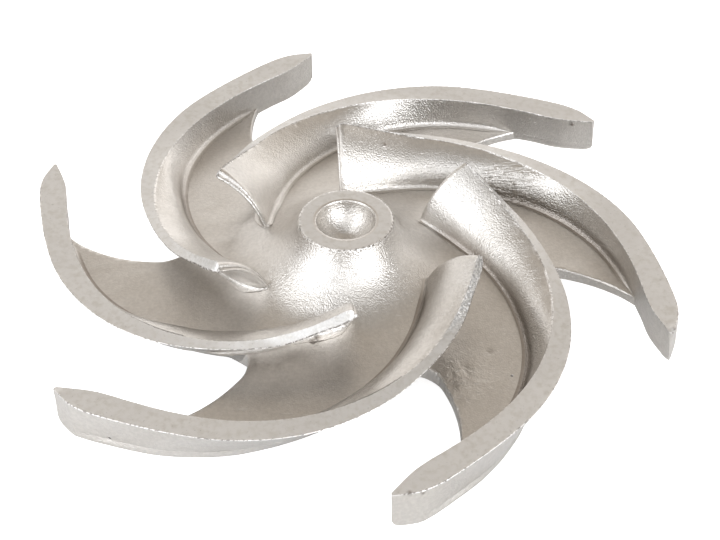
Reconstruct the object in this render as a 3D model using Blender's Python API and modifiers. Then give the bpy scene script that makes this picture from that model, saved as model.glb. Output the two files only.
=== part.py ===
"""Open impeller of a centrifugal process pump: six twisted vanes on a star-shaped shroud.

The real one is a single stainless steel casting with turned faces, so it is one solid here too.
Units are metres with +Z along the shaft, towards the eye. The origin is on the axis at the back
face of the hub, which seats against the shoulder of the shaft.
"""
import math

import bmesh
import bpy
import numpy as np
from mathutils import Matrix, Vector

MM = 0.001
NAME = "impeller_casting"

# Driving dimensions of the turned faces
VANES = 6
FIRST_TIP_DEG = 36.3
TIP_RADIUS = 127.0 * MM
FACE_HEIGHT = 30.0 * MM
BACK_HEIGHT = 14.5 * MM
HUB_RADIUS = 27.0 * MM
HUB_CHAMFER = 1.5 * MM
BORE_RADIUS = 12.0 * MM
BORE_DEPTH = 24.0 * MM
DRILL_POINT = 3.5 * MM
NOSE_HEIGHT = 41.9 * MM
NOSE_RADIUS = 17.7 * MM
DIMPLE_RADIUS = 11.2 * MM
DIMPLE_DEPTH = 9.7 * MM

# Driving dimensions of the star-shaped shroud
CORE_RADIUS = 62.2 * MM
CORE_START_DEG = 8.0
CORE_END_DEG = 18.3
NOTCH_RADIUS = 68.3 * MM
NOTCH_DEG = 22.5
SCALLOP_RADIUS = 60.3 * MM
SCALLOP_CENTRE = (85.1 * MM, -31.1 * MM)
SCALLOP_INNER_DEG = 105.4
SCALLOP_OUTER_DEG = 66.3
ARM_START_DEG = 13.5
ARM_END_DEG = 66.0

# Floor of the passages, as (radius, height over the back of the shroud)
FLOOR = [
    (33.0 * MM, 11.8 * MM),
    (38.0 * MM, 9.9 * MM),
    (44.0 * MM, 8.7 * MM),
    (50.0 * MM, 8.1 * MM),
    (60.0 * MM, 6.9 * MM),
    (75.0 * MM, 5.4 * MM),
    (90.0 * MM, 4.3 * MM),
    (120.0 * MM, 3.4 * MM),
]
BELL_CONTROL = (23.5 * MM, 11.8 * MM)

# Turned front of the vanes, as (radius, height over the flat part of the front)
FRONT = [
    (54.0 * MM, 17.0 * MM),
    (58.0 * MM, 11.4 * MM),
    (63.0 * MM, 7.0 * MM),
    (70.0 * MM, 4.3 * MM),
    (80.0 * MM, 2.0 * MM),
    (96.0 * MM, 0.0),
    (110.0 * MM, 0.0),
    (127.0 * MM, 0.0),
]

# One vane, by the angle from its tip: radii of the face's two edges and of the walls at the floor
VANE_END_DEG = 116.4
FACE_OUTER = [
    (0, 129.2), (5, 126.7), (15, 118.8), (30, 109.8), (45, 99.7), (60, 88.0), (75, 76.4), (90, 67.3),
    (105, 59.7), (112, 57.8), (VANE_END_DEG, 56.4),
]
FACE_INNER = [
    (0, 125.2), (4, 117.4), (10, 112.0), (20, 105.3), (30, 99.7), (45, 91.1), (60, 81.9), (75, 72.5),
    (90, 63.5), (105, 57.4), (VANE_END_DEG, 54.2),
]
FOOT_OUTER = [
    (0, 130.2), (5, 126.8), (10, 121.5), (20, 113.0), (30, 103.6), (45, 89.0), (60, 77.0), (75, 63.5),
    (90, 50.6), (105, 42.0), (112, 38.6), (VANE_END_DEG, 36.7),
]
FOOT_INNER = [
    (0, 126.5), (4, 118.4), (10, 112.2), (20, 104.0), (30, 95.9), (45, 82.2), (60, 67.1), (75, 53.9),
    (90, 43.3), (105, 36.0), (VANE_END_DEG, 32.8),
]
BULGE_INNER_DEG = (38.0, 58.0)
BULGE_OUTER_DEG = (54.0, 88.0)
BULGE = (-0.42, 0.31)
EDGE_BULGE = (-0.18, 0.31)
EDGE_BULGE_DEG = (72.0, VANE_END_DEG)

# Fineness of the solids
TURN_STEPS = 60
VANE_SECTIONS = 27
WALL_STEPS = 5

STEEL_COLOUR = (0.53, 0.49, 0.45, 1.0)
STEEL_ROUGHNESS = 0.36


def through(points, at):
    """Cubic curve through the points, whose tangents are the slopes between neighbours."""
    x, y = np.array(points, dtype=float).T
    slope = np.gradient(y, x)
    at = np.asarray(at, dtype=float)
    i = np.clip(np.searchsorted(x, at) - 1, 0, len(x) - 2)
    width = x[i + 1] - x[i]
    t = (at - x[i]) / width
    start = (2 * t**3 - 3 * t**2 + 1) * y[i] + (t**3 - 2 * t**2 + t) * width * slope[i]
    end = (3 * t**2 - 2 * t**3) * y[i + 1] + (t**3 - t**2) * width * slope[i + 1]
    return start + end


def floor_height(radius):
    """Height of the passage floor at a radius outside the bell."""
    return BACK_HEIGHT + through(FLOOR, radius)


def front_height(radius):
    """Height of the turned front of the vanes."""
    return FACE_HEIGHT + through(FRONT, radius)


def clear_scene():
    """Remove whatever the file holds."""
    for item in list(bpy.data.objects):
        bpy.data.objects.remove(item, do_unlink=True)


def new_collection(name):
    """Collection under the scene's own."""
    collection = bpy.data.collections.new(name)
    bpy.context.scene.collection.children.link(collection)
    return collection


def mesh_object(name, verts, faces, collection):
    """Object from vertices and faces, with its normals pointing outwards."""
    mesh = bpy.data.meshes.new(name)
    mesh.from_pydata([tuple(v) for v in verts], [], faces)
    bm = bmesh.new()
    bm.from_mesh(mesh)
    bmesh.ops.recalc_face_normals(bm, faces=bm.faces)
    bm.to_mesh(mesh)
    bm.free()
    item = bpy.data.objects.new(name, mesh)
    collection.objects.link(item)
    return item


def apply_modifiers(item):
    """Replace an object's mesh by the one its modifiers give."""
    graph = bpy.context.evaluated_depsgraph_get()
    mesh = bpy.data.meshes.new_from_object(item.evaluated_get(graph))
    item.modifiers.clear()
    item.data = mesh


def bezier(start, control, end, steps):
    """Points of a quadratic curve from start to end."""
    t = np.linspace(0.0, 1.0, steps + 1)[:, None]
    start, control, end = np.array(start), np.array(control), np.array(end)
    return (1 - t) ** 2 * start + 2 * t * (1 - t) * control + t**2 * end


def hub_profile():
    """Half section of hub, bell and shroud, as (radius, height) from the dimple to the bore."""
    dimple = []
    sphere = (DIMPLE_RADIUS**2 + DIMPLE_DEPTH**2) / (2 * DIMPLE_DEPTH)
    for radius in np.linspace(0.0, DIMPLE_RADIUS, 4):
        rise = sphere - math.sqrt(sphere**2 - radius**2)
        dimple.append((radius, NOSE_HEIGHT - DIMPLE_DEPTH + rise))
    start = (NOSE_RADIUS, NOSE_HEIGHT)
    control = (BELL_CONTROL[0], BACK_HEIGHT + BELL_CONTROL[1])
    end = (FLOOR[2][0], BACK_HEIGHT + FLOOR[2][1])
    bell = [tuple(p) for p in bezier(start, control, end, 8)]
    floor = [(r, float(floor_height(r))) for r in (50 * MM, 60 * MM, 75 * MM, 95 * MM, 120 * MM)]
    back = [
        (120.0 * MM, BACK_HEIGHT),
        (HUB_RADIUS, BACK_HEIGHT),
        (HUB_RADIUS, HUB_CHAMFER),
        (HUB_RADIUS - HUB_CHAMFER, 0.0),
        (BORE_RADIUS + HUB_CHAMFER, 0.0),
        (BORE_RADIUS, HUB_CHAMFER),
        (BORE_RADIUS, BORE_DEPTH),
        (0.0, BORE_DEPTH + DRILL_POINT),
    ]
    return dimple + bell + floor + back


def turned_body(collection):
    """Hub, bell and a round shroud, turned from one profile."""
    verts = [(r, 0.0, z) for r, z in hub_profile()]
    edges = [(i, i + 1) for i in range(len(verts) - 1)]
    mesh = bpy.data.meshes.new("turned_body")
    mesh.from_pydata(verts, edges, [])
    item = bpy.data.objects.new("turned_body", mesh)
    collection.objects.link(item)
    screw = item.modifiers.new("turn", "SCREW")
    screw.axis = "Z"
    screw.steps = TURN_STEPS
    screw.render_steps = TURN_STEPS
    screw.use_merge_vertices = True
    screw.merge_threshold = 0.00001
    apply_modifiers(item)
    bm = bmesh.new()
    bm.from_mesh(item.data)
    bmesh.ops.recalc_face_normals(bm, faces=bm.faces)
    bm.to_mesh(item.data)
    bm.free()
    return item


def polar(radius, degrees):
    """Plan position of a radius and an angle."""
    angle = math.radians(degrees)
    return radius * math.cos(angle), radius * math.sin(angle)


def arm_middle(degrees):
    """Radius of the middle of a vane at its foot."""
    inner = through(FOOT_INNER, degrees)
    outer = through(FOOT_OUTER, degrees)
    return float(inner + outer) / 2 * MM


def star_outline():
    """Plan outline of the shroud: core, scallop and the middle of the vane's foot, six times."""
    core = [polar(CORE_RADIUS, a) for a in np.linspace(CORE_START_DEG, CORE_END_DEG, 3)]
    scallop = []
    for angle in np.linspace(SCALLOP_INNER_DEG, SCALLOP_OUTER_DEG, 12):
        x, y = polar(SCALLOP_RADIUS, angle)
        scallop.append((SCALLOP_CENTRE[0] + x, SCALLOP_CENTRE[1] + y))
    notch = bezier(core[-1], polar(NOTCH_RADIUS, NOTCH_DEG), scallop[0], 5)[1:-1]
    sector = core + [tuple(p) for p in notch] + scallop
    sector += [polar(arm_middle(a), a) for a in np.linspace(ARM_START_DEG, ARM_END_DEG, 12)]
    outline = []
    for vane in range(VANES):
        turn = Matrix.Rotation(math.radians(FIRST_TIP_DEG + vane * 360 / VANES), 3, "Z")
        outline += [turn @ Vector((x, y, 0.0)) for x, y in sector]
    return outline


def star_prism(collection):
    """Prism over the star outline, tall enough to hold the hub."""
    curve = bpy.data.curves.new("star", "CURVE")
    curve.dimensions = "2D"
    curve.fill_mode = "BOTH"
    curve.extrude = NOSE_HEIGHT
    outline = star_outline()
    spline = curve.splines.new("POLY")
    spline.points.add(len(outline) - 1)
    for point, place in zip(spline.points, outline):
        point.co = place.to_4d()
    spline.use_cyclic_u = True
    source = bpy.data.objects.new("star_curve", curve)
    collection.objects.link(source)
    graph = bpy.context.evaluated_depsgraph_get()
    mesh = bpy.data.meshes.new_from_object(source.evaluated_get(graph))
    bpy.data.objects.remove(source)
    item = bpy.data.objects.new("star_prism", mesh)
    item.location.z = NOSE_HEIGHT / 2
    collection.objects.link(item)
    bm = bmesh.new()
    bm.from_mesh(mesh)
    bmesh.ops.remove_doubles(bm, verts=bm.verts, dist=0.00001)
    bmesh.ops.recalc_face_normals(bm, faces=bm.faces)
    bm.to_mesh(mesh)
    bm.free()
    return item


def ease(at, limits):
    """Smooth step from 0 at the first limit to 1 at the second: 3t^2 - 2t^3."""
    t = min(max((at - limits[0]) / (limits[1] - limits[0]), 0.0), 1.0)
    return t * t * (3 - 2 * t)


def wall(top, foot, degrees, limits):
    """One side of a vane section from its foot to its top edge, bulging to the axis near the eye."""
    top, foot = np.array(top), np.array(foot)
    share = np.array(BULGE) + ease(degrees, EDGE_BULGE_DEG) * (np.array(EDGE_BULGE) - np.array(BULGE))
    control = (top + foot) / 2 + ease(degrees, limits) * share * np.abs(top - foot)
    return bezier(foot, control, top, WALL_STEPS)


def vane_section(degrees):
    """Closed section of a vane in the plane through the axis at an angle from its tip."""
    face_out = min(float(through(FACE_OUTER, degrees)) * MM, TIP_RADIUS)
    foot_out = min(float(through(FOOT_OUTER, degrees)) * MM, TIP_RADIUS)
    face_in = float(through(FACE_INNER, degrees)) * MM
    foot_in = float(through(FOOT_INNER, degrees)) * MM
    sides = []
    for face, foot, limits in ((face_in, foot_in, BULGE_INNER_DEG), (face_out, foot_out, BULGE_OUTER_DEG)):
        top = (face, float(front_height(face)))
        low = (foot, float(floor_height(foot)) - 0.4 * MM)
        points = wall(top, low, degrees, limits)
        slope = (points[1] - points[0])[0] / (points[1] - points[0])[1]
        under = (low[0] - slope * (low[1] - BACK_HEIGHT), BACK_HEIGHT)
        sides.append([under] + [tuple(p) for p in points])
    inner, outer = sides
    return inner + outer[::-1]


def vane_angles():
    """Angles of the sections, closer together at the tip."""
    t = np.linspace(0.0, 1.0, VANE_SECTIONS)
    return VANE_END_DEG * (0.35 * t**2 + 0.65 * t)


def vane_mesh(tip_degrees):
    """Vertices and faces of one vane, lofted through its sections."""
    verts, faces = [], []
    sections = [(a, vane_section(a)) for a in vane_angles()]
    count = len(sections[0][1])
    for angle, section in sections:
        for radius, height in section:
            x, y = polar(radius, tip_degrees + angle)
            verts.append((x, y, height))
    for row in range(len(sections) - 1):
        for col in range(count):
            a = row * count + col
            b = row * count + (col + 1) % count
            faces.append((a, b, b + count, a + count))
    faces.append(tuple(range(count)))
    faces.append(tuple(range(len(verts) - count, len(verts))))
    return verts, faces


def all_vanes(collection):
    """The six vanes as one mesh of separate solids."""
    verts, faces = [], []
    for vane in range(VANES):
        first = len(verts)
        new_verts, new_faces = vane_mesh(FIRST_TIP_DEG + vane * 360 / VANES)
        verts += new_verts
        faces += [tuple(first + i for i in face) for face in new_faces]
    return mesh_object("vanes", verts, faces, collection)


def combine(item, other, operation):
    """Boolean of two objects, applied to the first."""
    boolean = item.modifiers.new(operation.lower(), "BOOLEAN")
    boolean.operation = operation
    boolean.solver = "EXACT"
    boolean.object = other
    apply_modifiers(item)


def steel():
    """Pickled cast stainless steel."""
    material = bpy.data.materials.new("cast_stainless_steel")
    material.use_nodes = True
    shader = material.node_tree.nodes["Principled BSDF"]
    shader.inputs["Base Color"].default_value = STEEL_COLOUR
    shader.inputs["Metallic"].default_value = 1.0
    shader.inputs["Roughness"].default_value = STEEL_ROUGHNESS
    material.diffuse_color = STEEL_COLOUR
    return material


def tidy(item):
    """Merge the points that the Booleans left on top of each other, and smooth the round faces."""
    bm = bmesh.new()
    bm.from_mesh(item.data)
    bmesh.ops.remove_doubles(bm, verts=bm.verts, dist=0.00002)
    bmesh.ops.dissolve_degenerate(bm, edges=bm.edges, dist=0.00002)
    bmesh.ops.triangulate(bm, faces=bm.faces)
    bm.to_mesh(item.data)
    bm.free()
    item.data.shade_smooth()
    item.data.set_sharp_from_angle(angle=math.radians(35))


def impeller():
    """Hub and star-shaped shroud with the vanes grown onto them."""
    parts = new_collection("impeller")
    tools = new_collection("impeller_tools")
    body = turned_body(parts)
    prism = star_prism(tools)
    vanes = all_vanes(tools)
    for tool in (prism, vanes):
        tool.hide_render = True
        tool.display_type = "WIRE"
    combine(body, prism, "INTERSECT")
    combine(body, vanes, "UNION")
    for tool in (prism, vanes):
        bpy.data.objects.remove(tool)
    body.name = NAME
    body.data.name = NAME
    tidy(body)
    body.data.materials.clear()
    body.data.materials.append(steel())
    return body


clear_scene()
impeller()
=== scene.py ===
"""Dresses the open pump impeller: six lofted vanes on a star-shaped shroud, cast and turned steel.

Shapes are worked out in millimetres, with +Z along the shaft and the back of the hub at zero, and
are scaled to metres as they become meshes. A vane is measured by the angle from its tip, which
grows inwards along the vane, so every section of it lies in a half plane through the axis.
"""
import math
from types import SimpleNamespace

import bmesh
import bpy
import numpy as np
from mathutils import Matrix


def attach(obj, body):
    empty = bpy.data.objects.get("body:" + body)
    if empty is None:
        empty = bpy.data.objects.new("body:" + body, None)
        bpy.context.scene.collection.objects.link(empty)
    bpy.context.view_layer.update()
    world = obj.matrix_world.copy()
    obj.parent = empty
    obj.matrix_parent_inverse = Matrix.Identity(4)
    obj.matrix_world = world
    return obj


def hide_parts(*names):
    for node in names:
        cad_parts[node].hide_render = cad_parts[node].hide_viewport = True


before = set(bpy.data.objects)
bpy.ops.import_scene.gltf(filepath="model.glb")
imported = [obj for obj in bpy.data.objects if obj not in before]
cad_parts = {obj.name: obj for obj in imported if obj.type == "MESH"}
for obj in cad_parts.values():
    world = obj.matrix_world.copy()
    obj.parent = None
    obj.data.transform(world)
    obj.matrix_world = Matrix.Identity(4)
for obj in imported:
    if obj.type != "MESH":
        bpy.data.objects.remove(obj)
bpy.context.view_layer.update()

# Metres in a millimetre, millimetres in a metre, and the distance in metres under which points merge
MM = 0.001
PER_METRE = 1000.0
MERGE_DISTANCE = 0.000002

# Layout of the vanes, turned faces, bore with its thread, nose with its dimple, and height of the
# front of the vanes over FACE by radius
VANES = 6
PITCH = 360 / VANES
FIRST_TIP = 36.3
TIP_RADIUS = 127.0
FACE = 30.0
BACK = 14.5
HUB_RADIUS = 27.0
HUB_CHAMFER = 1.5
BORE_RADIUS = 12.0
BORE_DEPTH = 24.0
DRILL_POINT = 3.5
THREAD_PITCH = 3.2
THREAD_DEPTH = 1.4
THREAD_HEIGHTS = (1.8, BORE_DEPTH - 2.5)
THREAD_FADES = (1.0, 4.0, BORE_DEPTH - 5.0, BORE_DEPTH - 2.5)
BORE_CHAMFER = (3.0, 1.6)
BOSS_FILLET = 1.6
NOSE = 41.9
NOSE_RADIUS = 17.7
DIMPLE_RADIUS = 11.2
DIMPLE_DEPTH = 9.7
FRONT = [(54, 17), (58, 11.4), (63, 7), (70, 4.3), (80, 2), (96, 0), (110, 0), (127, 0)]

# Floor of the passages over the back of the shroud, the curve of the bell down to it, and the radius
# out to which the turned surface has its finest steps
FLOOR = [(44, 8.7), (50, 8.1), (60, 6.9), (75, 5.4), (90, 4.3), (120, 3.4)]
BELL_CONTROL = (23.5, 11.8)
FINE_RADIUS = 84.0

# Plan of the shroud by the angle from a tip. Its turned surface reaches further out and is cut to the
# plan by a tool whose side is the rim, rounded in front and chamfered behind. Towards the ends of the
# arms the rim's insets fade to their least share.
SHROUD_REACH = 119.0
CORE_RADIUS = 62.2
CORE_ANGLES = (7.8, 18.3)
NOTCH = (68.3, 22.5)
SCALLOP_RADIUS = 60.3
SCALLOP_CENTRE = (85.1, -31.1)
SCALLOP_ANGLES = (105.4, 66.3)
ARM_ANGLES = (12.6, 61.0)
ARM_SHARE = 0.45
RIM_ROUND = 0.9
RIM_CHAMFER = 0.35
RIM_FADE_RADII = (104.0, 110.5)
RIM_LEAST = 0.15
TOOL_HEIGHTS = (-5.0, NOSE + 20)

# One vane by the angle from its tip: radii of its face's two edges, of both walls at the floor, and of
# the outer wall's bottom edge
VANE_END = 116.4
FACE_OUTER = [
    (0, 127.7), (2, 127.4), (4, 126.9), (6, 126.0), (8, 124.6), (10, 122.9), (15, 118.9), (22, 114.3),
    (30, 109.8), (45, 99.7), (60, 88.0), (75, 76.4), (90, 67.3), (105, 59.7), (112, 57.8),
    (VANE_END, 56.4),
]
FACE_INNER = [
    (0, 125.4), (2, 121.1), (4, 117.6), (7, 114.1), (10, 111.7), (20, 105.3), (30, 99.7), (45, 91.1),
    (60, 81.9), (75, 72.5), (90, 63.5), (105, 57.4), (VANE_END, 54.2),
]
FOOT_OUTER = [
    (0, 130.2), (5, 126.8), (10, 121.5), (20, 112.9), (30, 103.4), (45, 88.7), (60, 76.6), (75, 62.3),
    (90, 49.3), (105, 40.9), (112, 37.6), (VANE_END, 35.7),
]
FOOT_INNER = [
    (0, 126.5), (4, 118.4), (10, 112.2), (20, 104.5), (30, 96.9), (45, 83.2), (60, 68.1), (75, 54.8),
    (90, 44.2), (105, 36.9), (VANE_END, 33.5),
]
BOTTOM_OUTER = [
    (0, 130.7), (4, 128.0), (10.5, 121.7), (18, 115.0), (24, 109.2), (29.5, 103.6), (36.5, 95.6),
    (42.5, 88.9), (55, 75.6), (69, 63.8), (90, 50.0), (VANE_END, 37.0),
]
OUTER_FOOT_ANGLES = (69.0, 76.0)
BOTTOM_GAP = 0.06

# Root fillets, the raised line they end in, bulge of the walls in its full form and at the leading
# edge, the share of a wall's curve at which its last point lies, just short of the face, how far the
# face's own points lie inside its edges, and its least width. Pairs of angles say where something
# starts and where it is complete.
FILLET = 2.4
NO_FILLET = 0.03
LIP = 0.22
EYE_ANGLES = (92.0, 108.0)
END_ANGLES = (110.0, VANE_END)
BULGE = (-0.42, 0.31)
EDGE_BULGE = (-0.18, 0.31)
EDGE_BULGE_ANGLES = (72.0, VANE_END)
FACE_SHARE = 0.985
FACE_INSET = 0.12
LEAST_WIDTH = 0.3

# Both walls of a vane. The sign is positive where the vane lies outside the wall. The fillet changes
# by one share over EYE_ANGLES and loses another over END_ANGLES.
INNER_WALL = SimpleNamespace(
    sign=1.0, face=FACE_INNER, foot=FOOT_INNER, fillet_angles=(13.5, 19.0), eye_change=-0.45,
    end_loss=0.0, bulge_angles=(38.0, 58.0), bottom_round=1.0,
)
OUTER_WALL = SimpleNamespace(
    sign=-1.0, face=FACE_OUTER, foot=FOOT_OUTER, fillet_angles=(66.0, 74.0), eye_change=0.9,
    end_loss=0.6, bulge_angles=(54.0, 88.0), bottom_round=1.5,
)

# Ends of a vane: over which last angles its leading edge thins, by shares of the thickness from the
# inner and the outer side, and its front corner sinks; how its bottom corner rises at the tip; and how
# many degrees the rounded ends reach past the first and the last section
THINNING_ANGLES = (3.8, 1.6)
THINNING_SHARES = (0.42, 0.2)
CORNER_ANGLE = 2.6
CORNER_DROP = 1.3
CORNER_FOOT = BACK + 10
TIP_ANGLE = 1.5
TIP_LIFT = 2.2
END_REACH = (0.15, 1.0)

# Unevenness of the cast vanes and of the cast floor: height, size and seed of its waves
VANE_WAVES = ((0.07, 16.0, 3), (0.025, 5.0, 4))
FLOOR_WAVES = ((0.05, 18.0, 5), (0.02, 6.0, 6))

# Burrs at the four lines of points along the face's edges, from the inner side outwards, their fall
# from point to point, nicks in them, and the angle between faces from which an edge is sharp
BURRS = (0.5, 0.5, 1.0, 1.0)
BURR_FALL = 1.8
NICK_DEPTH = 0.05
NICK_LIMITS = (0.9, 1.6)
SHARP_ANGLE = 38.0

# Painted shade on the roots of the inner walls: how dark, over which angles and which points up the wall
# it fades in and out, and over which shares of Y in their direction from the axis it fades at the back
PAINTED_ROOT_SHADE = 0.55
SHADED_ANGLES = (12.0, 24.0, 98.0, 112.0)
SHADED_COLUMNS = (7, 9, 15, 26)
SHADED_BEHIND = (0.45, 0.8)

# Marks seen in the photo: place, radius, depth (below zero where raised) and darkness
MARKS = (
    (93.5, 75.5, 28.0, 0.9, 0.5, 1.0),
    (117.0, -49.5, 29.5, 1.4, 1.1, 0.8),
    (16.0, 51.5, 37.0, 0.8, 0.5, 0.8),
    (67.0, 38.5, 26.5, 0.8, 0.4, 0.5),
    (71.0, 36.0, 24.0, 0.8, 0.4, 0.5),
    (-19.5, 72.0, 32.5, 0.8, -0.35, 0.0),
    (-11.5, 80.5, 31.5, 0.8, -0.35, 0.0),
    (-10.5, -44.5, 23.5, 1.1, 0.5, 0.6),
    (-12.5, -46.0, 23.0, 0.9, 0.4, 0.6),
    (-32.5, -54.5, 21.0, 1.7, -0.35, 0.0),
    (-28.5, -56.0, 21.0, 1.9, -0.3, 0.0),
    (-24.0, -56.5, 21.5, 1.7, -0.35, 0.0),
    (42.5, -57.5, 20.0, 2.2, 0.35, 0.15),
    (36.5, -66.0, 20.0, 2.5, 0.4, 0.2),
    (38.5, -73.0, 19.5, 2.0, 0.35, 0.2),
    (51.5, -49.5, 20.0, 1.3, 0.25, 0.4),
    (-100.5, -77.5, 28.5, 2.2, 0.9, 0.0),
    (19.5, -125.0, 30.0, 0.9, 0.4, 0.7),
    (24.0, -124.5, 29.0, 0.7, 0.3, 0.6),
)

# Centres of the drag lines and of the creases in the cast skin, in metres
GROUND_SPOT = (0.065, 0.040, 0.027)
CREASED_SPOT = (0.040, -0.064, 0.020)

# Camera of the photograph: its place is the face's centre seen from it, in millimetres along its own
# axes, and the focal length and the centre of view are in pixels
PHOTO_SIZE = (720, 540)
FOCAL_LENGTH = 1798.9
VIEW_CENTRE = (344.99, 274.74)
ELEVATION = 41.684
ROLL = -0.794
FACE_FROM_CAMERA = (0.44, 11.78, -680.6)
SENSOR_WIDTH = 36.0

# Steel: what both skins put out, their colours, and the height in millimetres of one step of relief
SKIN_OUTPUTS = {"Colour": "Color", "Roughness": "Float", "Height": "Float"}
CAST_TONES = ((0.612, 0.585, 0.553), (0.567, 0.537, 0.50))
TURNED_TONES = ((0.64, 0.625, 0.605), (0.595, 0.575, 0.553))
STAIN_TONE = (0.552, 0.530, 0.496)
BRIGHT_BURR = (0.9, 0.88, 0.86)
DARK_BURR = (0.3, 0.28, 0.26)
# Colour towards which the marks and the painted shade at the vane roots darken the steel
MARK_AND_PAINTED_SHADE_TONE = (0.11, 0.075, 0.05)
CAST_RELIEF = 0.21
TURNED_RELIEF = 0.02

# Studio: light of the room in front, on the wall behind, above that wall and overhead; shares of Y
# in a direction over which front turns into behind, and shares of Z up to which the wall is bright and
# between which it is dim; how much brighter the right is; and the table
FRONT_LIGHT = (0.46, 0.445, 0.43)
WALL_LIGHT = (1.66, 1.63, 1.60)
SHADE_LIGHT = (0.58, 0.52, 0.45)
CEILING_LIGHT = (0.54, 0.54, 0.52)
ROOM_LIMITS = (-0.15, 0.55)
WALL_TOP = 0.35
SHADE_HEIGHTS = (0.7, 0.9)
RIGHT_SHARE = 0.18
TABLE_TONE = (0.80, 0.80, 0.80)
TABLE_HALF = 6.0
TABLE_GLOW = 0.75

# Softboxes: name, azimuth and elevation in degrees, power in watts and width in metres; and the
# distance of all of them, their colour, and the point in metres that they face
SOFTBOXES = (
    ("left_softbox", 215.0, 20.0, 20.0, 1.5),
    ("right_softbox", 313.0, 20.0, 15.0, 1.1),
    ("upper_left_softbox", 188.0, 59.0, 6.0, 0.9),
    ("upper_front_softbox", 288.0, 45.0, 9.0, 1.5),
)
SOFTBOX_DISTANCE = 1.5
SOFTBOX_COLOUR = (0.92, 0.955, 1.0)
AIM = (0, 0, 0.02)

# Kinds of surface along the half section of the hub
CAST, PLAIN, TURNED, THREADED = range(4)


def through(points, at):
    """Cubic curve through the points, whose tangents are the slopes between neighbours."""
    x, y = np.array(points, dtype=float).T
    slope = np.gradient(y, x)
    i = np.clip(np.searchsorted(x, at) - 1, 0, len(x) - 2)
    width = x[i + 1] - x[i]
    t = (at - x[i]) / width
    start = (2 * t**3 - 3 * t**2 + 1) * y[i] + (t**3 - 2 * t**2 + t) * width * slope[i]
    end = (3 * t**2 - 2 * t**3) * y[i + 1] + (t**3 - t**2) * width * slope[i + 1]
    return start + end


def ease(at, limits):
    """Smooth step from 0 at the first limit to 1 at the second: 3t^2 - 2t^3."""
    t = np.clip((at - limits[0]) / (limits[1] - limits[0]), 0.0, 1.0)
    return t * t * (3 - 2 * t)


def blend(start, end, t):
    """Point between start and end, t of the way."""
    return start + (end - start) * t


def curve(start, control, end, t):
    """Quadratic curve: (1-t)^2 start + 2t(1-t) control + t^2 end."""
    return (1 - t) ** 2 * start + 2 * t * (1 - t) * control + t * t * end


def ground_line():
    """Bell and floor as one line of radius and height, smoothed over about 3 mm.

    The bell is a quadratic curve down to the first point of the floor.
    """
    t = np.linspace(0.0, 1.0, 90)
    bell_r = curve(NOSE_RADIUS, BELL_CONTROL[0], FLOOR[0][0], t)
    bell_z = curve(NOSE - BACK, BELL_CONTROL[1], FLOOR[0][1], t)
    floor_r = np.linspace(FLOOR[0][0], FLOOR[-1][0], 160)[1:]
    r = np.concatenate([bell_r, floor_r])
    z = np.concatenate([bell_z, through(FLOOR, floor_r)])
    even = np.linspace(NOSE_RADIUS, FLOOR[-1][0], 600)
    window = np.hanning(19)
    longer = np.pad(np.interp(even, r, z), window.size // 2, mode="reflect", reflect_type="odd")
    return even, BACK + np.convolve(longer, window / window.sum(), mode="valid")


GROUND = ground_line()


def ground(radius):
    """Height of the bell and floor at a radius."""
    return np.interp(radius, *GROUND)


def front(radius):
    """Height of the turned front of the vanes at a radius."""
    return FACE + through(FRONT, radius)


def waves(points, size, seed):
    """Smooth unevenness, mostly between -1 and 1: a quarter of the sum of seven sines.

    Their directions, their lengths of 0.6 to 1.4 times the size and their phases come from the seed.
    """
    rng = np.random.default_rng(seed)
    total = np.zeros(points.shape[:-1])
    for _ in range(7):
        way = rng.normal(size=3)
        way *= rng.uniform(0.7, 1.6) * 2 * math.pi / size / np.linalg.norm(way)
        total += np.sin(points @ way + rng.uniform(0, 2 * math.pi))
    return total / 4


def unevenness(points, layers):
    """Sum of layers of waves, each given by its height, size and seed."""
    return sum(height * waves(points, size, seed) for height, size, seed in layers)


def marked(points):
    """Depth and darkness of the marks at points: bells of distance, each 1/e high at its radius."""
    depth = np.zeros(points.shape[:-1])
    dark = np.zeros(points.shape[:-1])
    for x, y, z, radius, sink, shade in MARKS:
        near = np.exp(-((points - (x, y, z)) ** 2).sum(axis=-1) / radius**2)
        depth += sink * near
        dark = np.maximum(dark, shade * near)
    return depth, dark


def grid_normals(grid):
    """Unit normals of a grid of points that is closed along its columns."""
    down = np.gradient(grid, axis=0)
    across = np.roll(grid, -1, axis=1) - np.roll(grid, 1, axis=1)
    normal = np.cross(down, across)
    return normal / np.maximum(np.linalg.norm(normal, axis=2, keepdims=True), 1e-12)


def polar(radius, degrees):
    """Plan position of radii and angles, stacked on the last axis."""
    angle = np.radians(degrees)
    return np.stack([radius * np.cos(angle), radius * np.sin(angle)], axis=-1)


def above_fillet(angle, wall, fillet):
    """Points of a wall from the top of its fillet to the face, as radii and heights.

    The wall is a quadratic curve from its foot to the edge of the face. Its control point is the
    middle of the two, moved towards the axis and up by the bulge.
    """
    face_r = np.minimum(through(wall.face, angle), TIP_RADIUS)
    face_z = front(face_r)
    corner_r = through(wall.foot, angle)
    corner_z = ground(corner_r)
    bulge = ease(angle, wall.bulge_angles)
    at_edge = ease(angle, EDGE_BULGE_ANGLES)
    bulge_r = bulge * blend(BULGE[0], EDGE_BULGE[0], at_edge)
    bulge_z = bulge * blend(BULGE[1], EDGE_BULGE[1], at_edge)
    middle_r = (corner_r + face_r) / 2 + bulge_r * np.abs(face_r - corner_r)
    middle_z = (corner_z + face_z) / 2 + bulge_z * (face_z - corner_z)
    start = np.clip(fillet / np.hypot(face_r - corner_r, face_z - corner_z), 0.001, 0.3)[:, None]
    t = blend(start, FACE_SHARE, np.linspace(0, 1, 30)[None, :])
    wall_r = curve(corner_r[:, None], middle_r[:, None], face_r[:, None], t)
    wall_z = curve(corner_z[:, None], middle_z[:, None], face_z[:, None], t)
    return wall_r, wall_z


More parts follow.
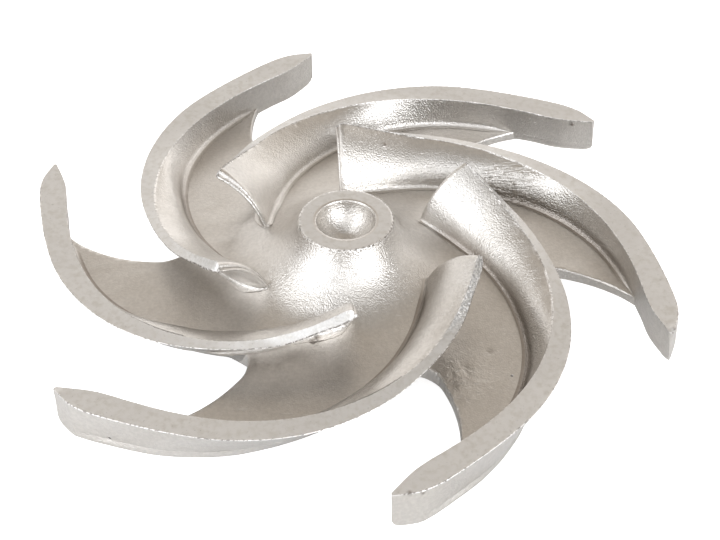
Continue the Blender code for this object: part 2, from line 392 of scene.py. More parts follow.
def side(angle, wall):
    """One side of the vane from its bottom edge to its face, as radii and heights by angle and step.

    A fillet joins the wall to the floor and ends there in a raised line. Below the floor the side
    goes down to just above the back of the shroud.
    """
    corner_r = through(wall.foot, angle)
    corner_z = ground(corner_r)
    rooted = ease(angle, wall.fillet_angles)
    fillet = NO_FILLET + (FILLET - NO_FILLET) * rooted
    fillet = fillet * (1 + wall.eye_change * ease(angle, EYE_ANGLES))
    fillet = fillet * (1 - wall.end_loss * ease(angle, END_ANGLES))
    root_r = corner_r - wall.sign * fillet
    wall_r, wall_z = above_fillet(angle, wall, fillet)
    s = np.linspace(0.0, 1.0, 8)[None, :-1]
    lip = LIP * rooted[:, None]
    foot_z = ground(root_r)[:, None] + lip
    round_r = curve(root_r[:, None], corner_r[:, None], wall_r[:, :1], s)
    round_z = curve(foot_z, corner_z[:, None] + lip * 0.5, wall_z[:, :1], s)
    lip_r = root_r[:, None] - wall.sign * np.array([[0.02, 0.18, 0.2]]) * (lip / LIP)
    lip_z = foot_z + np.array([[-0.7, -0.25, -0.03]]) * (lip + 0.01)
    if wall is INNER_WALL:
        bottom_r = root_r + 0.01 * rooted
    else:
        bottom_r = blend(through(BOTTOM_OUTER, angle), corner_r, ease(angle, OUTER_FOOT_ANGLES))
    turn = np.radians(np.linspace(90, 0, 5))[None, :]
    low_r = bottom_r[:, None] + wall.sign * wall.bottom_round * (1 - np.cos(turn))
    low_z = BACK + BOTTOM_GAP + wall.bottom_round * (1 - np.sin(turn))
    low_z = np.repeat(low_z, angle.size, axis=0)
    rise_r = blend(low_r[:, -1:], lip_r[:, :1], np.array([[0.4, 0.8]]))
    rise_z = blend(low_z[:, -1:], lip_z[:, :1], np.array([[0.4, 0.8]]))
    radius = np.concatenate([low_r, rise_r, lip_r, round_r, wall_r], axis=1)
    height = np.concatenate([low_z, rise_z, lip_z, round_z, wall_z], axis=1)
    return radius, height


def vane_rows():
    """Angles of the sections, about 0.6 mm apart along the vane and finer at both ends."""
    return np.concatenate([
        np.linspace(0.0, 6.0, 40, endpoint=False),
        np.linspace(6.0, 60.0, 150, endpoint=False),
        np.linspace(60.0, VANE_END - 4, 108, endpoint=False),
        VANE_END - 4 * (1 - np.linspace(0.0, 1.0, 24)) ** 1.6,
    ])


def close_ends(loop, across):
    """Rounds both ends of a vane: more rows shrink to the middle line as they turn through 90 degrees."""
    middle = (loop + loop[:, across]) / 2
    turn = np.radians(np.linspace(0, 90, 7))[1:, None, None]
    first = blend(middle[:1], loop[:1], np.cos(turn))
    last = blend(middle[-1:], loop[-1:], np.cos(turn))
    return np.concatenate([first[::-1], loop, last])


def rounded_off(angle, start, end):
    """Quarter of an ellipse: 0 up to the start, then steeper and steeper to 1 at the end."""
    t = np.clip((angle - start) / (end - start), 0.0, 1.0)
    return (1 - np.sqrt(1 - t * t))[:, None]


def vane_loops():
    """Closed sections of a vane as radii and heights, their angles, and how many points a side has.

    Near the leading edge both sides close in on each other by their shares of the thickness, and
    the front corner sinks by the square of the height. At the tip the bottom corner rises.
    """
    angle = vane_rows()
    inner_r, inner_z = side(angle, INNER_WALL)
    outer_r, outer_z = side(angle, OUTER_WALL)
    inner_share = THINNING_SHARES[0] * rounded_off(angle, VANE_END - THINNING_ANGLES[0], VANE_END)
    outer_share = THINNING_SHARES[1] * rounded_off(angle, VANE_END - THINNING_ANGLES[1], VANE_END)
    inner_r, outer_r = blend(inner_r, outer_r, inner_share), blend(outer_r, inner_r, outer_share)
    inner_z, outer_z = blend(inner_z, outer_z, inner_share), blend(outer_z, inner_z, outer_share)
    face_in, face_out = inner_r[:, -1], outer_r[:, -1]
    s = np.array([[0.0, 0.04, 0.12, 0.25, 0.4, 0.6, 0.75, 0.88, 0.96, 1.0]])
    width = np.maximum(face_out - face_in, LEAST_WIDTH)[:, None]
    inset = FACE_INSET / width
    top_r = face_in[:, None] + width * blend(inset, 1 - inset, s)
    top_z = front(top_r)
    radius = np.concatenate([inner_r, top_r, outer_r[:, ::-1]], axis=1)
    height = np.concatenate([inner_z, top_z, outer_z[:, ::-1]], axis=1)
    top = height.max(axis=1, keepdims=True)
    share = np.clip((height - CORNER_FOOT) / (top - CORNER_FOOT), 0, 1)
    height = height - CORNER_DROP * rounded_off(angle, VANE_END - CORNER_ANGLE, VANE_END) * share**2
    lift = TIP_LIFT * rounded_off(angle, TIP_ANGLE, 0.0)
    height = height + lift * np.clip(1 - (height - BACK) / (4 * TIP_LIFT), 0, 1)
    radius = np.minimum(radius, TIP_RADIUS)
    loop = np.stack([radius, height], axis=2)
    across = np.arange(loop.shape[1])[::-1]
    loop = close_ends(loop, across)
    turn = np.sin(np.radians(np.linspace(0, 90, 7)))[1:]
    angle = np.concatenate([-END_REACH[0] * turn[::-1], angle, VANE_END + END_REACH[1] * turn])
    return loop, angle, inner_r.shape[1]


def vane_points(tip):
    """One vane's grid of points, with its face's columns, its burred edges and the painted shade at its
    roots.

    The sections are turned to their angle. The cast sides are a little uneven, with the photo's
    marks, and the corners of the face are nicked at random.
    """
    loop, angle, sides = vane_loops()
    plan = polar(loop[..., 0], (tip + angle)[:, None])
    grid = np.concatenate([plan, loop[..., 1:]], axis=2)
    normal = grid_normals(grid)
    columns = np.arange(grid.shape[1])
    faces = (columns >= sides - 1) & (columns <= grid.shape[1] - sides)
    uneven = unevenness(grid, VANE_WAVES) * ~faces[None, :]
    inside = np.hypot(grid[..., 0], grid[..., 1]) < TIP_RADIUS - 0.01
    grid = grid + normal * (uneven * inside)[..., None]
    corners = np.array([sides - 1, sides, grid.shape[1] - sides - 1, grid.shape[1] - sides])
    edge = (np.exp(-np.abs(columns[:, None] - corners) * BURR_FALL) * BURRS).max(axis=1)
    edge = np.broadcast_to(edge, grid.shape[:2])
    rng = np.random.default_rng(int(tip) % 360)
    nick = rng.normal(size=(grid.shape[0], 1)) - NICK_LIMITS[0]
    nick = np.clip(nick, 0.0, NICK_LIMITS[1]) * NICK_DEPTH
    nick = nick * np.isin(columns, corners)[None, :] * inside
    sunk = nick + marked(grid)[0] * inside
    # Painted shade on the inner roots: darker along the fillet, fading out for roots towards the back (+Y)
    root = ease(columns, SHADED_COLUMNS[:2]) * (1 - ease(columns, SHADED_COLUMNS[2:]))
    along = ease(angle, SHADED_ANGLES[:2]) * (1 - ease(angle, SHADED_ANGLES[2:]))
    behind = ease(grid[..., 1] / np.hypot(grid[..., 0], grid[..., 1]), SHADED_BEHIND)
    shade = PAINTED_ROOT_SHADE * along[:, None] * root[None, :] * (1 - behind)
    return grid - normal * sunk[..., None], faces, edge, shade


def grid_faces(rows, columns):
    """Corner numbers of the quads of a grid that is closed along its columns."""
    row = np.arange(rows - 1)[:, None]
    column = np.arange(columns)[None, :]
    here = row * columns + column
    beside = row * columns + (column + 1) % columns
    return np.stack([here, beside, beside + columns, here + columns], axis=-1).reshape(-1, 4)


def new_mesh(name, points, quads, slots, materials, edge, shade):
    """Object with these points in millimetres and quads, whose normals point outwards.

    Its attribute "edge" is highest along an edge that a lathe has left and falls to zero beside it,
    and the other attribute is the darkness of the photo's marks or the painted shade of the vane
    roots, whichever is more.
    """
    mesh = bpy.data.meshes.new(name)
    mesh.from_pydata((points.reshape(-1, 3) * MM).tolist(), [], quads.tolist())
    # Darkness of the marks and the painted shade at the roots share one attribute
    for label, values in (("edge", edge), ("mark_and_painted_shade", np.maximum(marked(points)[1], shade))):
        attribute = mesh.attributes.new(label, "FLOAT", "POINT")
        attribute.data.foreach_set("value", values.astype(np.float32).ravel())
    for material in materials:
        mesh.materials.append(material)
    mesh.polygons.foreach_set("material_index", slots.astype(np.int32).ravel())
    bm = bmesh.new()
    bm.from_mesh(mesh)
    bmesh.ops.remove_doubles(bm, verts=bm.verts, dist=MERGE_DISTANCE)
    bmesh.ops.recalc_face_normals(bm, faces=bm.faces)
    bm.to_mesh(mesh)
    bm.free()
    item = bpy.data.objects.new(name, mesh)
    bpy.context.scene.collection.objects.link(item)
    mesh.shade_smooth()
    mesh.set_sharp_from_angle(angle=math.radians(SHARP_ANGLE))
    return item


def vane(name, tip, cast, turned):
    """One vane, whose front is as the lathe left it and whose sides and end are blasted."""
    grid, face_columns, edge, shade = vane_points(tip)
    rows, columns = grid.shape[:2]
    quads = grid_faces(rows, columns)
    on_face = face_columns & np.roll(face_columns, -1)
    slots = np.broadcast_to(on_face[None, :], (rows - 1, columns))
    return new_mesh(name, grid, quads, slots, [cast, turned], edge, shade)


def star_outline(inset):
    """Plan outline of the shroud: core, notch, scallop and arm six times, with its corners eased.

    It is given once for each inset. The insets fade out towards the pointed ends of the arms.
    """
    core = polar(CORE_RADIUS, np.linspace(*CORE_ANGLES, 8))
    scallop = SCALLOP_CENTRE + polar(SCALLOP_RADIUS, np.linspace(*SCALLOP_ANGLES, 30))
    notch = curve(core[-1], polar(*NOTCH), scallop[0], np.linspace(0, 1, 12)[1:-1, None])
    arm_angle = np.linspace(*ARM_ANGLES, 20)
    inner_radius = through(FOOT_INNER, arm_angle) - FILLET
    arm = polar(blend(inner_radius, through(BOTTOM_OUTER, arm_angle), ARM_SHARE), arm_angle)
    sector = np.concatenate([core, notch, scallop, arm])
    turns = np.radians(FIRST_TIP + np.arange(VANES) * PITCH)
    rotation = np.stack([np.cos(turns), np.sin(turns), -np.sin(turns), np.cos(turns)], axis=1)
    line = np.einsum("pc,vcd->vpd", sector, rotation.reshape(-1, 2, 2)).reshape(-1, 2)
    closed = np.concatenate([line, line[:1]])
    run = np.concatenate([[0.0], np.cumsum(np.linalg.norm(np.diff(closed, axis=0), axis=1))])
    even = np.linspace(0.0, run[-1], 1200, endpoint=False)
    line = np.stack([np.interp(even, run, closed[:, 0]), np.interp(even, run, closed[:, 1])], axis=1)
    weight = np.hanning(7)[1:-1]
    rolled = [np.roll(line, k - weight.size // 2, axis=0) * w for k, w in enumerate(weight)]
    line = np.sum(rolled, axis=0) / weight.sum()
    along = np.roll(line, -1, axis=0) - np.roll(line, 1, axis=0)
    along /= np.linalg.norm(along, axis=1, keepdims=True)
    inward = np.stack([-along[:, 1], along[:, 0]], axis=1)
    inward *= blend(1.0, RIM_LEAST, ease(np.linalg.norm(line, axis=1), RIM_FADE_RADII))[:, None]
    return line[None] + inward[None] * np.asarray(inset)[:, None, None]


def star_tool():
    """Solid whose side is the shroud's rim: its outline down a profile with a rounded top edge."""
    turn = np.radians(np.linspace(0, 76, 6))
    rounding = RIM_ROUND * (1 - np.cos(turn))
    inset = np.concatenate([[RIM_CHAMFER, RIM_CHAMFER, 0.0], rounding, [rounding[-1] + RIM_ROUND]])
    plan = star_outline(inset)
    height = ground(np.hypot(plan[..., 0], plan[..., 1]))
    height[0] = TOOL_HEIGHTS[0]
    height[1] = BACK - 0.01
    height[2] = BACK + RIM_CHAMFER
    height[3:-1] += 0.02 - RIM_ROUND * (1 - np.sin(turn))[:, None]
    height[-1] += 0.6
    rows = np.concatenate([plan, height[..., None]], axis=2)
    roof = np.concatenate([plan[-1:], np.full_like(height[-1:], TOOL_HEIGHTS[1])[..., None]], axis=2)
    points = np.concatenate([rows, roof])
    count = points.shape[1]
    quads = grid_faces(len(points), count)
    mesh = bpy.data.meshes.new("star_tool")
    caps = [list(range(count)), list(range((len(points) - 1) * count, len(points) * count))]
    mesh.from_pydata((points.reshape(-1, 3) * MM).tolist(), [], quads.tolist() + caps)
    bm = bmesh.new()
    bm.from_mesh(mesh)
    bmesh.ops.recalc_face_normals(bm, faces=bm.faces)
    bm.to_mesh(mesh)
    bm.free()
    item = bpy.data.objects.new("star_tool", mesh)
    bpy.context.scene.collection.objects.link(item)
    return item


def hub_line():
    """Half section of the hub from the dimple over bell, floor and back to the bore.

    It gives radii, heights and the kind of surface at each point. The offsets under half a
    millimetre round off the edges.
    """
    thread_z = np.linspace(*THREAD_HEIGHTS, 54)
    thread_r = BORE_RADIUS + THREAD_DEPTH
    sphere = (DIMPLE_RADIUS**2 + DIMPLE_DEPTH**2) / (2 * DIMPLE_DEPTH)
    dimple_r = np.linspace(0.0, DIMPLE_RADIUS - 0.35, 22)
    dimple_z = NOSE - DIMPLE_DEPTH + sphere - np.sqrt(sphere**2 - dimple_r**2)
    lip_t = np.linspace(0.0, 1.0, 6)[1:]
    lip_r = curve(dimple_r[-1], DIMPLE_RADIUS - 0.05, DIMPLE_RADIUS + 0.3, lip_t)
    lip_z = curve(dimple_z[-1], NOSE, NOSE, lip_t)
    ring_r = np.linspace(DIMPLE_RADIUS + 0.3, NOSE_RADIUS - 0.25, 8)[1:]
    bell_r = NOSE_RADIUS + (FINE_RADIUS - NOSE_RADIUS) * np.linspace(0, 1, 120) ** 1.25
    floor_r = np.linspace(FINE_RADIUS, SHROUD_REACH, 40)[1:]
    skin_r = np.concatenate([bell_r, floor_r])
    pieces = [
        (dimple_r, dimple_z, PLAIN),
        (lip_r, lip_z, PLAIN),
        (ring_r, np.full_like(ring_r, NOSE), TURNED),
        ([NOSE_RADIUS - 0.08], [NOSE - 0.1], TURNED),
        (skin_r[:1], [NOSE - 0.45], CAST),
        (skin_r[1:], ground(skin_r[1:]), CAST),
        ([SHROUD_REACH], [BACK], CAST),
        ([90.0, 60.0, 40.0, HUB_RADIUS + BOSS_FILLET], [BACK] * 4, CAST),
        ([HUB_RADIUS + 0.45, HUB_RADIUS], [BACK - 0.45, BACK - BOSS_FILLET], CAST),
        ([HUB_RADIUS] * 2, [BACK / 2, HUB_CHAMFER], TURNED),
        ([HUB_RADIUS - HUB_CHAMFER, BORE_RADIUS + BORE_CHAMFER[0]], [0.0, 0.0], TURNED),
        ([thread_r], [BORE_CHAMFER[1]], TURNED),
        (np.full(thread_z.size, thread_r), thread_z, THREADED),
        ([BORE_RADIUS] * 2, [thread_z[-1] + 0.2, BORE_DEPTH], PLAIN),
        ([BORE_RADIUS / 2, 0.0], [BORE_DEPTH + DRILL_POINT / 2, BORE_DEPTH + DRILL_POINT], PLAIN),
    ]
    radius = np.concatenate([p[0] for p in pieces])
    height = np.concatenate([p[1] for p in pieces])
    kind = np.concatenate([np.full(len(p[0]), p[2]) for p in pieces])
    return radius, height, kind


def thread_wave(height, around):
    """Ridges of a thread, 0 at the root and 1 at the crest: a clipped sine of height less turn.

    It fades out over about the last turn at both ends.
    """
    wave = 0.5 + 0.9 * np.sin(2 * math.pi * (height / THREAD_PITCH - around / 360))
    ends = ease(height, THREAD_FADES[:2]) * (1 - ease(height, THREAD_FADES[2:]))
    return np.clip(wave, 0.0, 1.0) * ends


def shroud(name, cast, turned):
    """Hub, bell and floor as one turned surface, cut to the star-shaped rim."""
    radius, height, kind = hub_line()
    around = np.linspace(0, 360, 360, endpoint=False)[None, :]
    ridge = thread_wave(height[:, None], around) * THREAD_DEPTH * (kind == THREADED)[:, None]
    plan = polar(radius[:, None] - ridge, around)
    level = np.broadcast_to(height[:, None, None], plan.shape[:2] + (1,))
    grid = np.concatenate([plan, level], axis=2)
    cast_rows = (kind == CAST) & (height > BACK + 1)
    uneven = unevenness(grid, FLOOR_WAVES)
    grid[..., 2] += uneven * cast_rows[:, None] * np.clip((radius - NOSE_RADIUS) / 3, 0, 1)[:, None]
    grid[..., 2] -= marked(grid)[0] * cast_rows[:, None]
    quads = grid_faces(*grid.shape[:2])
    slots = np.repeat((kind[:-1] == TURNED) & (kind[1:] == TURNED), grid.shape[1])
    near_nose = np.exp(-(((radius - NOSE_RADIUS) / 0.5) ** 2)) * (height > NOSE - 2)
    edge = np.broadcast_to(near_nose[:, None], grid.shape[:2])
    item = new_mesh(name, grid, quads, slots, [cast, turned], edge, 0.0)
    tool = star_tool()
    cut = item.modifiers.new("rim", "BOOLEAN")
    cut.operation = "INTERSECT"
    cut.solver = "EXACT"
    cut.object = tool
    graph = bpy.context.evaluated_depsgraph_get()
    mesh = bpy.data.meshes.new_from_object(item.evaluated_get(graph))
    item.modifiers.clear()
    item.data = mesh
    bpy.data.objects.remove(tool)
    mesh.shade_smooth()
    mesh.set_sharp_from_angle(angle=math.radians(SHARP_ANGLE))
    return item


def add(tree, kind, values, **settings):
    """Node of a kind with its settings. A value is a number, a tuple or another node's output."""
    item = tree.nodes.new("ShaderNode" + kind)
    for key, value in settings.items():
        setattr(item, key, value)
    for key, value in values.items():
        if isinstance(value, bpy.types.NodeSocket):
            tree.links.new(value, item.inputs[key])
        else:
            item.inputs[key].default_value = value
    return item


def math_node(tree, operation, *values):
    """Output of a calculation on one, two or three values."""
    return add(tree, "Math", dict(enumerate(values)), operation=operation).outputs[0]


def spread(tree, value, low, high, to_low=0.0, to_high=1.0):
    """Value mapped smoothly from one range to another, and held at its ends."""
    limits = {"Value": value, "From Min": low, "From Max": high, "To Min": to_low, "To Max": to_high}
    return add(tree, "MapRange", limits, interpolation_type="SMOOTHSTEP").outputs[0]


def noise(tree, place, size, detail=2.0, distortion=0.0):
    """Noise whose lumps are about a size in millimetres."""
    values = {"Vector": place, "Scale": PER_METRE / size, "Detail": detail, "Distortion": distortion}
    return add(tree, "TexNoise", values).outputs["Fac"]


def new_group(name, inputs, outputs):
    """Node group, sockets to read its inputs from and to link its outputs to, and a place.

    The place is the object coordinate, in metres.
    """
    tree = bpy.data.node_groups.new(name, "ShaderNodeTree")
    for label, value in inputs.items():
        socket = tree.interface.new_socket(label, in_out="INPUT", socket_type="NodeSocketFloat")
        socket.default_value = value
    for label, kind in outputs.items():
        tree.interface.new_socket(label, in_out="OUTPUT", socket_type="NodeSocket" + kind)
    start = tree.nodes.new("NodeGroupInput")
    end = tree.nodes.new("NodeGroupOutput")
    place = add(tree, "TexCoord", {}).outputs["Object"]
    return tree, start.outputs, end.inputs, place


def tint(tree, mask, low, high):
    """Colour between two, by a mask. Either is a colour of three shares or a node's output."""
    low, high = (c if isinstance(c, bpy.types.NodeSocket) else (*c, 1.0) for c in (low, high))
    return add(tree, "Mix", {"Factor": mask, 6: low, 7: high}, data_type="RGBA").outputs[2]


def drawn_out(tree, place, rotation, stretch):
    """Place stretched in Y and Z and then turned, so that noise taken there forms lines along X."""
    values = {"Vector": place, "Rotation": rotation, "Scale": (1.0, stretch, stretch)}
    return add(tree, "Mapping", values).outputs[0]


def distance(tree, place, spot):
    """Distance between a place and a spot in metres."""
    return add(tree, "VectorMath", {0: place, 1: spot}, operation="DISTANCE").outputs["Value"]


def shaft_radius(tree, place):
    """Distance of a place from the shaft's axis in metres."""
    flat = add(tree, "VectorMath", {0: place, 1: (1.0, 1.0, 0.0)}, operation="MULTIPLY").outputs[0]
    return add(tree, "VectorMath", {0: flat}, operation="LENGTH").outputs["Value"]


def flawed(tree, place, height):
    """Height with the photo's drag lines around GROUND_SPOT and its creases around CREASED_SPOT."""
    lines = noise(tree, drawn_out(tree, place, (0.0, 0.0, 0.62), 9.0), 8.0, 2.0)
    near = spread(tree, distance(tree, place, GROUND_SPOT), 0.015, 0.007)
    streak = math_node(tree, "MULTIPLY", spread(tree, lines, 0.45, 0.65), near)
    height = math_node(tree, "MULTIPLY_ADD", streak, -1.0, height)
    near = spread(tree, distance(tree, place, CREASED_SPOT), 0.017, 0.005)
    crease = math_node(tree, "MULTIPLY", noise(tree, place, 2.6, 3.0, 0.5), near)
    return math_node(tree, "MULTIPLY_ADD", crease, 4.4, height)


def cast_skin():
    """Shot-blasted cast steel: fine lumps, a mottled tone, pits, scratches and the photo's flaws.

    Surfaces that face up, such as the floor, are smoother.
    """
    tree, given, out, place = new_group("cast_skin", {"Grain": 0.62, "Relief": 1.0}, SKIN_OUTPUTS)
    scale = math_node(tree, "DIVIDE", PER_METRE, given["Grain"])
    grains = {"Vector": place, "Scale": scale, "Detail": 1.5, "Distortion": 0.2}
    lumps = add(tree, "TexNoise", grains).outputs["Fac"]
    fine = noise(tree, place, 0.42, 1.0)
    broad = noise(tree, place, 4.5, 2.0)
    height = math_node(tree, "MULTIPLY_ADD", fine, 0.3, lumps)
    height = math_node(tree, "MULTIPLY_ADD", broad, 0.35, height)
    cells = add(tree, "TexVoronoi", {"Vector": place, "Scale": 85.0})
    chosen = add(tree, "SeparateColor", {"Color": cells.outputs["Color"]}).outputs[0]
    reach = math_node(tree, "MULTIPLY", spread(tree, chosen, 0.72, 1.0), 0.075)
    near = math_node(tree, "SUBTRACT", reach, cells.outputs["Distance"])
    pit = spread(tree, near, 0.0, 0.03)
    height = math_node(tree, "MULTIPLY_ADD", pit, -3.0, height)
    long = drawn_out(tree, place, (0.4, 0.9, 0.7), 14.0)
    scratch = spread(tree, noise(tree, long, 9.0, 3.0, 0.4), 0.66, 0.74)
    height = math_node(tree, "MULTIPLY_ADD", scratch, -0.35, height)
    height = flawed(tree, place, height)
    facing = add(tree, "TexCoord", {}).outputs["Normal"]
    level = add(tree, "SeparateXYZ", {0: facing}).outputs["Z"]
    relief = math_node(tree, "MULTIPLY", given["Relief"], spread(tree, level, 0.88, 0.98, 1.0, 0.4))
    tree.links.new(math_node(tree, "MULTIPLY", height, relief), out["Height"])
    patches = spread(tree, noise(tree, place, 34.0, 5.0, 0.8), 0.35, 0.68)
    rough = math_node(tree, "MULTIPLY_ADD", patches, 0.05, 0.29)
    tree.links.new(math_node(tree, "MULTIPLY_ADD", pit, 0.3, rough), out["Roughness"])
    tone = tint(tree, patches, *CAST_TONES)
    speckle = spread(tree, noise(tree, place, 1.3, 3.0), 0.3, 0.75, 0.93, 1.05)
    dark = math_node(tree, "MULTIPLY_ADD", pit, -0.6, speckle)
    shade = add(tree, "VectorMath", {0: tone, "Scale": dark}, operation="SCALE")
    tree.links.new(shade.outputs[0], out["Colour"])
    return tree


def turned_skin():
    """Turned steel: fine rings around the shaft's axis, stains and specks, and a grain near the eye.

    The grain is coarse and has dark hollows, mostly on the right of the eye.
    """
    tree, given, out, place = new_group("turned_skin", {"Feed": 0.3, "Relief": 1.0}, SKIN_OUTPUTS)
    radius = shaft_radius(tree, place)
    scale = math_node(tree, "DIVIDE", PER_METRE, given["Feed"])
    feed = {"W": radius, "Scale": scale, "Detail": 3.0}
    rings = add(tree, "TexNoise", feed, noise_dimensions="1D").outputs["Fac"]
    grain = noise(tree, place, 0.5, 2.0)
    inner = math_node(tree, "MULTIPLY", spread(tree, radius, 0.070, 0.060), spread(tree, radius, 0.02, 0.03))
    across = add(tree, "SeparateXYZ", {0: place}).outputs["X"]
    inner = math_node(tree, "MULTIPLY", inner, spread(tree, across, 0.0, 0.03, 0.25, 1.0))
    lumps = noise(tree, place, 0.9, 2.0)
    coarse = math_node(tree, "MULTIPLY", inner, lumps)
    height = math_node(tree, "MULTIPLY_ADD", grain, 0.45, math_node(tree, "MULTIPLY", rings, 0.35))
    height = math_node(tree, "MULTIPLY_ADD", coarse, 18.0, height)
    tree.links.new(math_node(tree, "MULTIPLY", height, given["Relief"]), out["Height"])
    patches = spread(tree, noise(tree, place, 22.0, 4.0, 0.5), 0.3, 0.7)
    tree.links.new(math_node(tree, "MULTIPLY_ADD", patches, 0.06, 0.46), out["Roughness"])
    speck = spread(tree, noise(tree, place, 0.9, 2.0), 0.66, 0.76, 1.0, 0.78)
    clean = tint(tree, patches, *TURNED_TONES)
    stain = spread(tree, noise(tree, place, 2.2, 6.0, 0.2), 0.40, 0.74)
    tone = tint(tree, stain, clean, STAIN_TONE)
    hollow = math_node(tree, "MULTIPLY", inner, spread(tree, lumps, 0.56, 0.46, 0.25, 1.0))
    dull = math_node(tree, "MULTIPLY_ADD", hollow, -0.45, speck)
    shade = add(tree, "VectorMath", {0: tone, "Scale": dull}, operation="SCALE")
    tree.links.new(shade.outputs[0], out["Colour"])
    return tree


def edge_burr():
    """Bright and dark specks beside the edges that the lathe has left, and dark lines at the eye."""
    outputs = {"Bright": "Float", "Dark": "Float"}
    tree, given, out, place = new_group("edge_burr", {"Amount": 1.0}, outputs)
    edge = add(tree, "Attribute", {}, attribute_name="edge").outputs["Fac"]
    where = math_node(tree, "MULTIPLY", edge, given["Amount"])
    grit = noise(tree, place, 1.1, 2.0)
    long = noise(tree, place, 6.0, 2.0)
    worn = math_node(tree, "MULTIPLY", where, spread(tree, long, 0.48, 0.6, 0.0, 1.0))
    bright = math_node(tree, "MULTIPLY", worn, spread(tree, grit, 0.5, 0.62))
    radius = shaft_radius(tree, place)
    ring = math_node(tree, "MULTIPLY", spread(tree, radius, 0.076, 0.068), spread(tree, radius, 0.02, 0.03))
    eye = math_node(tree, "MULTIPLY", ring, where)
    lining = math_node(tree, "MULTIPLY", eye, spread(tree, grit, 0.62, 0.46))
    line = math_node(tree, "MULTIPLY", where, spread(tree, grit, 0.42, 0.54, 0.0, 0.5))
    tree.links.new(math_node(tree, "ADD", line, bright), out["Bright"])
    dark = math_node(tree, "MULTIPLY", where, spread(tree, grit, 0.47, 0.40, 0.0, 0.9))
    tree.links.new(math_node(tree, "MAXIMUM", dark, lining), out["Dark"])
    return tree


def steel(name, skin, burr, relief):
    """Steel with a skin and its relief in millimetres, with burred edges, dark marks and painted root shade.

    Where an edge is burred brightly it is also raised and smoother.
    """
    material = bpy.data.materials.new(name)
    material.use_nodes = True
    tree = material.node_tree
    shader = tree.nodes["Principled BSDF"]
    shader.inputs["Metallic"].default_value = 1.0
    surface = tree.nodes.new("ShaderNodeGroup")
    surface.node_tree = skin
    edge = tree.nodes.new("ShaderNodeGroup")
    edge.node_tree = burr
    bright = edge.outputs["Bright"]
    dark = edge.outputs["Dark"]
    # Marks and the painted shade at the vane roots darken the colour
    mark_and_painted_shade = add(tree, "Attribute", {}, attribute_name="mark_and_painted_shade").outputs["Fac"]
    colour = tint(tree, bright, surface.outputs["Colour"], BRIGHT_BURR)
    colour = tint(tree, dark, colour, DARK_BURR)
    colour = tint(tree, mark_and_painted_shade, colour, MARK_AND_PAINTED_SHADE_TONE)
    tree.links.new(colour, shader.inputs["Base Color"])
    rough = math_node(tree, "MULTIPLY_ADD", bright, -0.06, surface.outputs["Roughness"])
    tree.links.new(rough, shader.inputs["Roughness"])
    height = math_node(tree, "MULTIPLY_ADD", bright, 0.6, surface.outputs["Height"])
    bump = add(tree, "Bump", {"Height": height, "Distance": relief * MM, "Strength": 1.0})
    tree.links.new(bump.outputs[0], shader.inputs["Normal"])
    return material


def table():
    """White table under the object.

    It glows for the camera alone, so its shadows are as faint as on the photo's white ground,
    while the steel mirrors it with its shadows.
    """
    material = bpy.data.materials.new("white_table")
    material.use_nodes = True
    tree = material.node_tree
    shader = tree.nodes["Principled BSDF"]
    shader.inputs["Base Color"].default_value = (*TABLE_TONE, 1.0)
    shader.inputs["Roughness"].default_value = 0.7
    shader.inputs["Emission Color"].default_value = (1.0, 1.0, 1.0, 1.0)
    seen = add(tree, "LightPath", {}).outputs["Is Camera Ray"]
    tree.links.new(math_node(tree, "MULTIPLY", seen, TABLE_GLOW), shader.inputs["Emission Strength"])
    return material


def posed(place, right, up, back):
    """Matrix of an item at a place in metres, whose own axes point right, up and back."""
    rows = np.column_stack([right, up, back, place]).tolist()
    return Matrix([*rows, [0.0, 0.0, 0.0, 1.0]])


def camera():
    """Camera of the photograph, from its fitted angles and place."""
    elevation, roll = math.radians(ELEVATION), math.radians(ROLL)
    back = np.array([0.0, -math.cos(elevation), math.sin(elevation)])
    right = np.array([1.0, 0.0, 0.0])
    up = np.cross(back, right)
    c, s = math.cos(roll), math.sin(roll)
    axes = np.array([c * right + s * up, c * up - s * right, back])
    place = -axes.T @ np.array(FACE_FROM_CAMERA) + np.array([0.0, 0.0, FACE])
    data = bpy.data.cameras.new("photo_camera")
    data.sensor_width = SENSOR_WIDTH
    data.lens = FOCAL_LENGTH / PHOTO_SIZE[0] * SENSOR_WIDTH
    data.shift_x = (PHOTO_SIZE[0] / 2 - VIEW_CENTRE[0]) / PHOTO_SIZE[0]
    data.shift_y = (VIEW_CENTRE[1] - PHOTO_SIZE[1] / 2) / PHOTO_SIZE[0]
    item = bpy.data.objects.new("photo_camera", data)
    item.matrix_world = posed(place * MM, *axes)
    bpy.context.scene.collection.objects.link(item)
    bpy.context.scene.camera = item


def softbox(name, azimuth, elevation, power, width):
    """Square soft light, its azimuth and elevation in degrees, that faces the object."""
    data = bpy.data.lights.new(name, "AREA")
    data.shape = "RECTANGLE"
    data.size, data.size_y = width, width
    data.energy = power
    data.color = SOFTBOX_COLOUR
    item = bpy.data.objects.new(name, data)
    azimuth, elevation = math.radians(azimuth), math.radians(elevation)
    reach = math.cos(elevation) * SOFTBOX_DISTANCE
    height = SOFTBOX_DISTANCE * math.sin(elevation)
    place = np.array([reach * math.cos(azimuth), reach * math.sin(azimuth), height])
    way = AIM - place
    way /= np.linalg.norm(way)
    right = np.cross(way, (0.0, 0.01, 1.0))
    right /= np.linalg.norm(right)
    item.matrix_world = posed(place, right, np.cross(right, way), -way)
    bpy.context.scene.collection.objects.link(item)


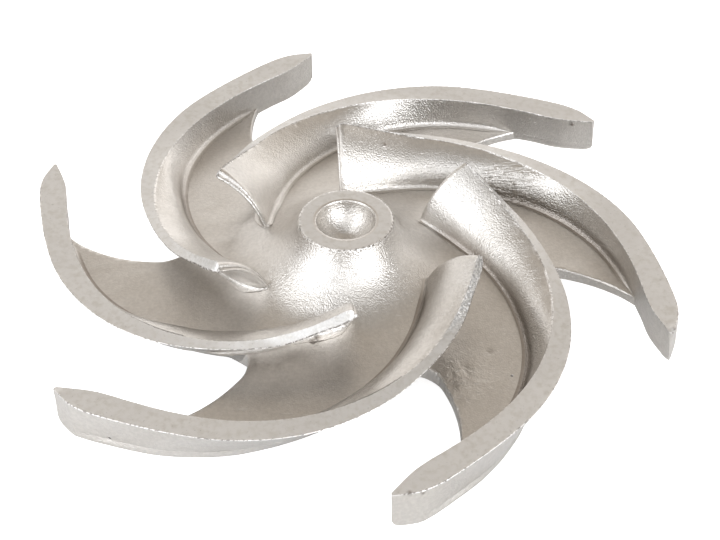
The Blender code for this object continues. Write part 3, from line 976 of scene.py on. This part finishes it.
def surroundings():
    """Room around the object: even in front, and behind it a bright wall with dimmer light above.

    All of it is a little brighter on the right.
    """
    world = bpy.data.worlds.new("studio")
    world.use_nodes = True
    tree = world.node_tree
    way = add(tree, "TexCoord", {}).outputs["Generated"]
    part = add(tree, "SeparateXYZ", {0: way})
    behind = spread(tree, part.outputs["Y"], *ROOM_LIMITS)
    height = tree.nodes.new("ShaderNodeValToRGB")
    ramp = height.color_ramp
    ramp.elements[0].position = 0.0
    ramp.elements[0].color = (*WALL_LIGHT, 1)
    ramp.elements[1].position = 1.0
    ramp.elements[1].color = (*CEILING_LIGHT, 1)
    ramp.elements.new(WALL_TOP).color = (*WALL_LIGHT, 1)
    for position in SHADE_HEIGHTS:
        ramp.elements.new(position).color = (*SHADE_LIGHT, 1)
    tree.links.new(part.outputs["Z"], height.inputs["Fac"])
    room = tint(tree, behind, FRONT_LIGHT, height.outputs["Color"])
    turn = math_node(tree, "MULTIPLY_ADD", part.outputs["X"], RIGHT_SHARE, 1.0)
    light = add(tree, "VectorMath", {0: room, "Scale": turn}, operation="SCALE")
    tree.links.new(light.outputs[0], tree.nodes["Background"].inputs["Color"])
    bpy.context.scene.world = world


def studio():
    """White table, the room's light and the softboxes."""
    h = TABLE_HALF
    mesh = bpy.data.meshes.new("floor")
    mesh.from_pydata([(-h, -h, 0), (h, -h, 0), (h, h, 0), (-h, h, 0)], [], [(0, 1, 2, 3)])
    floor = bpy.data.objects.new("floor", mesh)
    bpy.context.scene.collection.objects.link(floor)
    mesh.materials.append(table())
    surroundings()
    for box in SOFTBOXES:
        softbox(*box)
    bpy.context.scene.view_settings.view_transform = "Standard"


burr = edge_burr()
cast_steel = steel("cast_steel", cast_skin(), burr, CAST_RELIEF)
turned_steel = steel("turned_steel", turned_skin(), burr, TURNED_RELIEF)

tips = [FIRST_TIP + PITCH * (1 - k) for k in range(VANES)]
parts = [vane(f"vane_{k}", tip, cast_steel, turned_steel) for k, tip in enumerate(tips, 1)]
parts.append(shroud("hub_and_shroud", cast_steel, turned_steel))
for part in parts:
    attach(part, "root")
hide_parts("impeller_casting")

camera()
studio()
